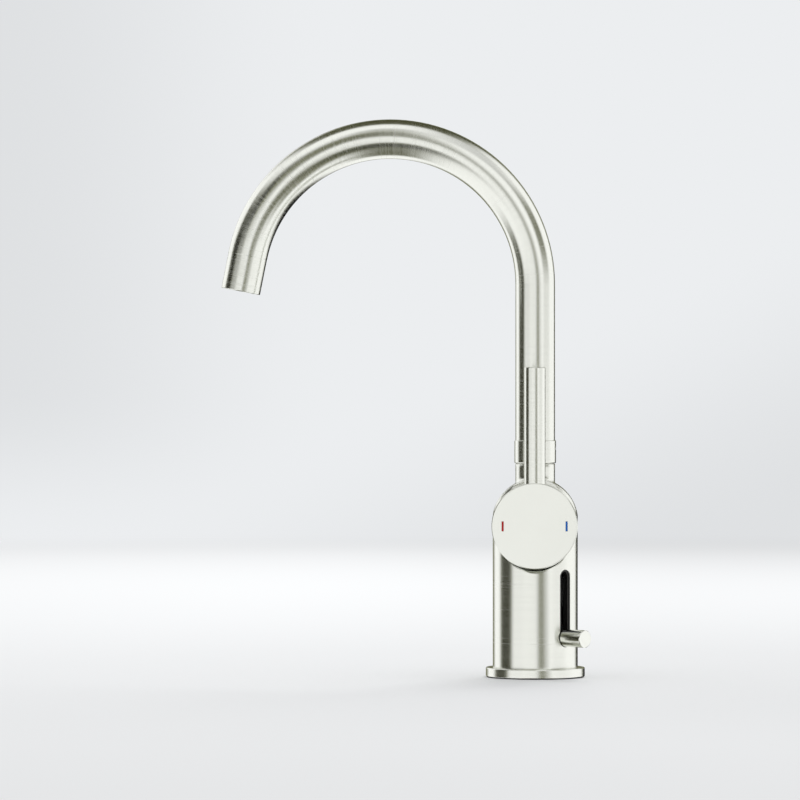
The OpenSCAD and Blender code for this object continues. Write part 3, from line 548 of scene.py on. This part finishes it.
def floor_material():
    """A pale floor whose soft changes of tone are painted light and shade. It is clear from below, and
    fades out far away.
    """
    material, graph = new_material("floor")
    x, y, z = graph.separate(graph.place())
    distance = graph.length(x, y)
    # Painted light round and behind the base and far away on the left, painted shade near the front on the
    # right
    painted_light_round_and_behind = graph.add(graph.ramp(distance, *PAINTED_LIGHT_ROUND_THE_BASE), graph.ramp(y, *PAINTED_LIGHT_BEHIND_THE_BASE))
    painted_light_far_away = graph.multiply(graph.ramp(x, *PAINTED_LIGHT_FAR_LEFT_TO_RIGHT), graph.ramp(y, *FAR_BEHIND))
    painted_shade_near_right = graph.multiply(graph.ramp(x, *PAINTED_SHADE_NEAR_LEFT_TO_RIGHT), graph.ramp(y, *NEAR_IN_FRONT))
    tone = graph.add(graph.add(painted_light_round_and_behind, painted_shade_near_right), graph.add(painted_light_far_away, FLOOR_TONE))
    pale = graph.node("ShaderNodeBsdfDiffuse", {"Color": graph.shade(FLOOR, tone)})
    clear = graph.node("ShaderNodeBsdfTransparent")
    above = graph.subtract(1.0, graph.node("ShaderNodeNewGeometry", output="Backfacing"))
    seen = graph.multiply(graph.ramp(distance, *FLOOR_FADE), above)
    graph.finish(graph.node("ShaderNodeMixShader", {0: seen, 1: clear, 2: pale}))
    return material


def new_object(name, shape, material):
    """Turns a built shape into an object with one material."""
    mesh = bpy.data.meshes.new(name)
    shape.to_mesh(mesh)
    shape.free()
    mesh.materials.append(material)
    made = bpy.data.objects.new(name, mesh)
    bpy.context.collection.objects.link(made)
    return made


def make_floor():
    """A plain round floor that keeps the mixer's shadow."""
    shape = bmesh.new()
    bmesh.ops.create_circle(shape, cap_ends=True, segments=FLOOR_SIDES, radius=FLOOR_RADIUS)
    floor = new_object("floor", shape, floor_material())
    floor.visible_glossy = False


def make_studio():
    """Colours as they are written, the world, the floor and the lamp."""
    bpy.context.scene.view_settings.view_transform = "Standard"
    make_world()
    make_floor()
    make_lamp()


def finish_piece(name, shape, body, material_name):
    """Turns a built shape into a piece that rides on a body."""
    bmesh.ops.recalc_face_normals(shape, faces=shape.faces)
    piece = new_object(name, shape, MATERIALS[material_name])
    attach(piece, body)


def join_rings(shape, pairs):
    """Faces all round between the two rings of points in each pair."""
    for first, second in pairs:
        count = len(first)
        for side in range(count):
            following = (side + 1) % count
            shape.faces.new((first[side], first[following], second[following], second[side]))


def make_thread(mount, pitch, slot_name):
    """A thread's ridge on the wall of its hole: a three-sided coil that fades at both ends."""
    x, y, middle = mount["pos_m"]
    radius = mount["dims"]["r_mm"] * MM
    hole_length = mount["dims"]["length_mm"] * MM
    length = hole_length - 2 * pitch
    bottom = middle - hole_length / 2 + pitch
    steps = int(STEPS_PER_TURN * length / pitch)
    foot = pitch * FOOT_HALF_WIDTH
    shape = bmesh.new()
    rings = []
    for step in range(steps + 1):
        angle = 2 * math.pi * step / STEPS_PER_TURN
        height = bottom + length * step / steps
        fade = min(1.0, step / FADE_STEPS, (steps - step) / FADE_STEPS)
        foot_rise = foot * max(fade, LEAST_FADE)
        ring = []
        for out, rise in ((FOOT_SUNK, -foot_rise), (-RIDGE_DEPTH * fade, 0.0), (FOOT_SUNK, foot_rise)):
            reach = radius + out
            point = (x + reach * math.cos(angle), y + reach * math.sin(angle), height + rise)
            ring.append(shape.verts.new(point))
        rings.append(ring)
    join_rings(shape, zip(rings, rings[1:]))
    shape.faces.new(rings[0])
    shape.faces.new(reversed(rings[-1]))
    finish_piece(mount["name"] + "_thread", shape, "mixer_body", slot_name)


def make_threads():
    """Threads in the holes under the base, from the record's mounts."""
    for mount in frame["record"]["mounts"]:
        if mount["kind"] == "threaded_hole":
            pitch = STUD_PITCH if mount["name"] == "fixing_stud" else HOSE_PITCH
            slot_name = "brass" if mount["name"] == "appliance_outlet" else "nickel_body"
            make_thread(mount, pitch, slot_name)


def make_liner_bead():
    """A fine moulded bead on the wall of the slot's liner, all round its opening. The rounded edge is real;
    its grey, lighter than the liner's black, is a painted glint along that edge.
    """
    aside = SLOT_OUT.cross(UP)
    behind_surface = SLOT_OUT * (BODY_RADIUS - BEAD_DEPTH)
    round_ends = ((SLOT_HIGH - SLOT_HALF_WIDTH, 0), (SLOT_LOW + SLOT_HALF_WIDTH, math.pi))
    shape = bmesh.new()
    rings = []
    for height, start in round_ends:
        for step in range(BEAD_END_STEPS + 1):
            turn = start + math.pi * step / BEAD_END_STEPS
            from_middle = aside * math.cos(turn) + UP * math.sin(turn)
            centre = behind_surface + UP * height + from_middle * BEAD_ASIDE
            ring = []
            for side in range(BEAD_SIDES):
                angle = 2 * math.pi * side / BEAD_SIDES
                spoke = SLOT_OUT * math.sin(angle) - from_middle * math.cos(angle)
                ring.append(shape.verts.new(centre + spoke * BEAD_RADIUS))
            rings.append(ring)
    join_rings(shape, zip(rings, rings[1:] + rings[:1]))
    for face in shape.faces:
        face.smooth = True
    finish_piece("liner_bead", shape, "mixer_body", "glint_bead_plastic")


def make_collar_screw():
    """The collar's small set screw on its right side, with a hexagon socket."""
    face = COLLAR_HIGH.x + SCREW_PROUD
    height = COLLAR_LOW.z + SCREW_HEIGHT * (COLLAR_HIGH.z - COLLAR_LOW.z)
    angles = [2 * math.pi * side / SCREW_SIDES for side in range(SCREW_SIDES)]
    off_flat = [(angle + SIXTH_TURN / 2) % SIXTH_TURN - SIXTH_TURN / 2 for angle in angles]
    hexagon = [SOCKET_HALF_WIDTH / math.cos(angle) for angle in off_flat]
    rows = [
        (-SCREW_LENGTH, [SCREW_RADIUS] * SCREW_SIDES),
        (-SCREW_EDGE, [SCREW_RADIUS] * SCREW_SIDES),
        (0.0, [SCREW_FACE_RADIUS] * SCREW_SIDES),
        (0.0, hexagon),
        (-SOCKET_DEPTH, hexagon),
    ]
    shape = bmesh.new()
    rings = []
    for out, radii in rows:
        ring = []
        for angle, radius in zip(angles, radii):
            point = (face + out, radius * math.cos(angle), height + radius * math.sin(angle))
            ring.append(shape.verts.new(point))
        rings.append(ring)
    join_rings(shape, zip(rings, rings[1:]))
    shape.faces.new(rings[0])
    shape.faces.new(rings[-1])
    finish_piece("collar_screw", shape, "spout", "steel")


dress_nodes()
make_camera()
make_studio()
make_threads()
make_liner_bead()
make_collar_screw()
